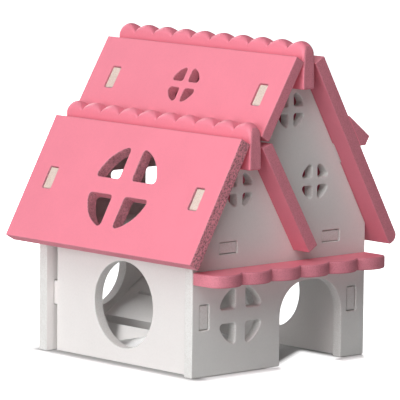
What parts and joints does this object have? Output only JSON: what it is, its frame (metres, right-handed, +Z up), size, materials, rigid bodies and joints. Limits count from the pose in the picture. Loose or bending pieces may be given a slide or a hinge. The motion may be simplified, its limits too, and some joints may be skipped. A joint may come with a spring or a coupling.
{
  "type": "mouse house",
  "caption": "Two-storey house of painted boards for a mouse or dwarf hamster, with an arched door, round side entrances, a ramp to the attic and scalloped ridge and awning boards.",
  "frame": {"origin": "middle of the outer box, on the ground plane under the walls", "axes": "+Z up; the front with the door and the awning faces -Y; +X to the right as seen from the front, towards the high gable and the door"},
  "size_m": [0.1472, 0.1542, 0.1699],
  "materials": {
    "white_board": "smooth white painted fibreboard, satin",
    "pink_board": "smooth pink painted fibreboard, satin"
  },
  "bodies": {
    "root": {"front_panel": "white_board", "back_panel": "white_board", "left_wall": "white_board", "right_wall": "white_board", "attic_floor": "white_board", "ramp": "white_board", "lower_left_roof": "pink_board", "upper_left_roof": "pink_board", "right_roof": "pink_board", "front_roof_trim": "pink_board", "lower_ridge": "pink_board", "upper_ridge": "pink_board", "front_awning": "pink_board", "side_canopy": "pink_board"}
  },
  "joints": []
}
